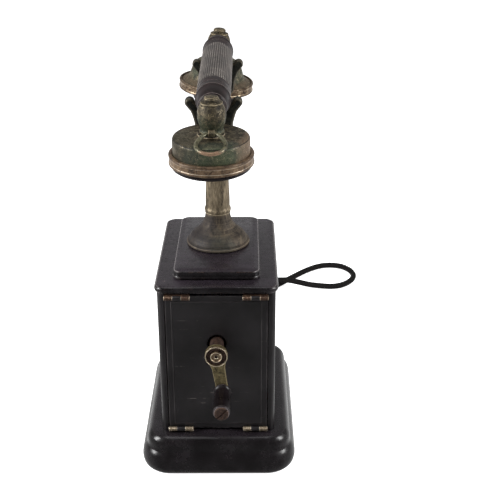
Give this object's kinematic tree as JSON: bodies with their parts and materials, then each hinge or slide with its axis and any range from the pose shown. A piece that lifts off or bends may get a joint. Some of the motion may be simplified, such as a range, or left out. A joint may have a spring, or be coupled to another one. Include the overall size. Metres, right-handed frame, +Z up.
{
  "type": "magneto desk telephone",
  "caption": "Desk telephone with a wooden base, a hand-cranked generator case, a column with a sprung forked cradle, a handset and a braided cord.",
  "frame": {"origin": "centre of the base's flat underside, on the surface that the telephone stands on", "axes": "+Z up, +X towards the crank, +Y towards the back, the handset lies along X"},
  "size_m": [0.458, 0.2243, 0.3419],
  "materials": {
    "lacquered_wood": "glossy black lacquer, a little greyed and speckled, edges rubbed brown",
    "japanned_sheet": "satin black japanning with small scratches",
    "aged_brass": "dull brown-grey patina with vertical streaks",
    "verdigris_brass": "mottled olive and brown patina with green verdigris",
    "bright_brass": "worn, slightly dull brass",
    "cradle_iron": "dark green-black paint over iron, worn",
    "ribbed_ebonite": "faded grey-brown hard rubber with fine ribs",
    "black_ebonite": "polished black hard rubber",
    "steel": "plain turned steel",
    "rusty_steel": "rust-browned steel",
    "magnet_steel": "dark blued steel",
    "copper_winding": "wound copper wire under varnish",
    "bell_metal": "polished bell metal",
    "fibre": "brown vulcanised fibre",
    "cord_braid": "black braided cotton"
  },
  "bodies": {
    "root": {"base": "lacquered_wood", "base_cord_bush": "black_ebonite", "chassis_plate": "steel", "case_front": "japanned_sheet", "case_back": "japanned_sheet", "crank_side_panel": "japanned_sheet", "far_side_panel": "japanned_sheet", "hinge_leaf_bottom_front": "bright_brass", "hinge_pin_bottom_front": "rusty_steel", "hinge_leaf_bottom_back": "bright_brass", "hinge_pin_bottom_back": "rusty_steel", "hinge_leaf_top_front": "bright_brass", "hinge_pin_top_front": "rusty_steel", "hinge_leaf_top_back": "bright_brass", "hinge_pin_top_back": "rusty_steel", "top_board": "lacquered_wood", "raised_board": "lacquered_wood", "column_foot": "aged_brass", "column_tube": "aged_brass", "column_nut": "steel", "plunger_spring": "steel", "switch_block": "fibre", "magnet_1": "magnet_steel", "magnet_2": "magnet_steel", "magnet_3": "magnet_steel", "magneto_frame": "steel", "ringer_frame": "steel", "ringer_coil_front": "copper_winding", "ringer_coil_back": "copper_winding", "gong_front": "bell_metal", "gong_back": "bell_metal", "induction_coil": "copper_winding", "terminal_block": "fibre", "handset_cord_lower": "cord_braid"},
    "crank": {"crank_shaft": "rusty_steel", "gear_wheel": "aged_brass", "crank_arm": "aged_brass", "crank_nut": "aged_brass", "knob_screw": "rusty_steel"},
    "knob": {"crank_knob": "black_ebonite"},
    "armature": {"armature": "steel", "pinion": "bright_brass"},
    "handset": {"grip": "ribbed_ebonite", "end_fitting_near": "verdigris_brass", "end_fitting_far": "verdigris_brass", "cord_gland": "black_ebonite", "receiver_case": "verdigris_brass", "receiver_ring": "aged_brass", "ear_cap": "black_ebonite", "transmitter_case": "verdigris_brass", "transmitter_ring": "aged_brass", "mouthpiece": "black_ebonite", "handset_cord_upper": "cord_braid"},
    "ring": {"hanging_ring": "aged_brass"},
    "cradle": {"cradle_hub": "cradle_iron", "cradle_fork_near": "cradle_iron", "cradle_fork_far": "cradle_iron", "plunger_rod": "steel"},
    "switch_blade": {"switch_blade": "bright_brass"},
    "clapper": {"bell_clapper": "bright_brass"}
  },
  "joints": [
    {"name": "handset_lift", "type": "slide", "parent": "root", "child": "handset", "axis": [0.0506, 0, 0.9987], "range_m": [0, 0.06]},
    {"name": "cradle_plunge", "type": "slide", "parent": "root", "child": "cradle", "axis": [0, 0, 1], "range_m": [0, 0.006]},
    {"name": "blade_follow", "type": "hinge", "parent": "root", "child": "switch_blade", "pos_m": [-0.036, 0, 0.1385], "axis": [0, -1, 0], "range_deg": [0, 9.2]},
    {"name": "ring_swing", "type": "hinge", "parent": "handset", "child": "ring", "pos_m": [0.10668, 0, 0.30728], "axis": [0, -1, 0], "range_deg": [0, 64]},
    {"name": "crank_turn", "type": "hinge", "parent": "root", "child": "crank", "pos_m": [0, 0, 0.1193], "axis": [1, 0, 0], "continuous": true},
    {"name": "knob_spin", "type": "hinge", "parent": "crank", "child": "knob", "pos_m": [0.108, 0.00454, 0.08702], "axis": [1, 0, 0], "continuous": true},
    {"name": "armature_spin", "type": "hinge", "parent": "root", "child": "armature", "pos_m": [0, 0, 0.0733], "axis": [1, 0, 0], "continuous": true},
    {"name": "clapper_rock", "type": "hinge", "parent": "root", "child": "clapper", "pos_m": [-0.049, 0, 0.0813], "axis": [1, 0, 0], "range_deg": [-8, 8]}
  ],
  "couplings": [
    {"joint": "cradle_plunge", "follows": "handset_lift", "ratio": 0.1},
    {"joint": "blade_follow", "follows": "handset_lift", "rad_per_m": 2.6742},
    {"joint": "armature_spin", "follows": "crank_turn", "ratio": -4}
  ]
}
